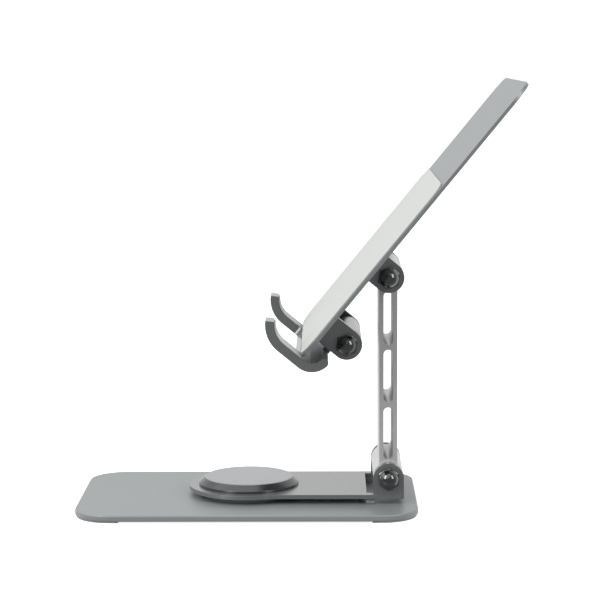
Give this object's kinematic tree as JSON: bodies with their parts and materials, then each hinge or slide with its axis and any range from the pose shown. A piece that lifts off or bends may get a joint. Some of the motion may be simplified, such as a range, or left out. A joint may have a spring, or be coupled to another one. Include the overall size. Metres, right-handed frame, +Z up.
{
  "type": "tablet stand",
  "caption": "Folding tablet stand: a padded tray with two hooks on a hinged upright arm, standing on a rotating base plate.",
  "frame": {"origin": "centre of the base plate on the surface it stands on, which is also the turntable axis", "axes": "+Z up; +X towards the end that carries the arm; Y along the hinge pins, across the tray"},
  "size_m": [0.2595, 0.15, 0.2509],
  "materials": {
    "base_metal": "fine matte powder coat, mid grey",
    "dark_metal": "fine matte powder coat, darker grey",
    "cap_metal": "bead-blasted top with a polished bevel",
    "tray_metal": "matte anodised, grey",
    "arm_aluminium": "satin anodised extrusion",
    "silicone": "pale grey matte silicone",
    "rubber": "black matte rubber",
    "black_nut": "glossy black",
    "steel": "zinc plated",
    "nylon": "natural white nylon"
  },
  "bodies": {
    "base": {"base_plate": "base_metal", "foot_strip_left": "rubber", "foot_strip_right": "rubber", "pivot_foot": "rubber", "pivot_bolt": "steel", "glide_ring": "nylon", "pivot_washer": "steel", "pivot_nut": "steel"},
    "swivel": {"swivel_plate": "dark_metal", "turntable_cap": "cap_metal", "pivot_wave_washer": "steel", "glide_pads": "nylon", "lower_hinge_pin": "steel", "lower_cap_nuts": "black_nut", "lower_friction_washers": "steel"},
    "arm": {"arm": "arm_aluminium", "arm_lower_bushes": "nylon", "arm_upper_bushes": "nylon", "lower_spring_washers": "steel", "upper_spring_washers": "steel"},
    "tray": {"tray_panel": "tray_metal", "tray_pad": "silicone", "tilt_bracket": "dark_metal", "hook_bracket": "dark_metal", "tilt_bracket_screws": "steel", "hook_bracket_screws": "steel", "upper_hinge_pin": "steel", "upper_cap_nuts": "black_nut", "upper_friction_washers": "steel", "hook_hinge_pin": "steel", "hook_cap_nuts": "black_nut", "hook_friction_washers": "steel"},
    "hooks": {"hook_frame": "dark_metal", "hook_liners": "silicone", "hook_bushes": "nylon", "hook_spring_washers": "steel"}
  },
  "joints": [
    {"name": "swivel_turn", "type": "hinge", "parent": "base", "child": "swivel", "pos_m": [0, 0, 0.008], "axis": [0, 0, 1], "continuous": true},
    {"name": "arm_fold", "type": "hinge", "parent": "swivel", "child": "arm", "pos_m": [0.083, 0, 0.02], "axis": [0, 1, 0], "range_deg": [-45, 20]},
    {"name": "tray_tilt", "type": "hinge", "parent": "arm", "child": "tray", "pos_m": [0.083, 0, 0.1383], "axis": [0, 1, 0], "range_deg": [-12, 100]},
    {"name": "hook_fold", "type": "hinge", "parent": "tray", "child": "hooks", "pos_m": [0.05862, 0, 0.09932], "axis": [0, 1, 0], "range_deg": [-60, 0]}
  ]
}
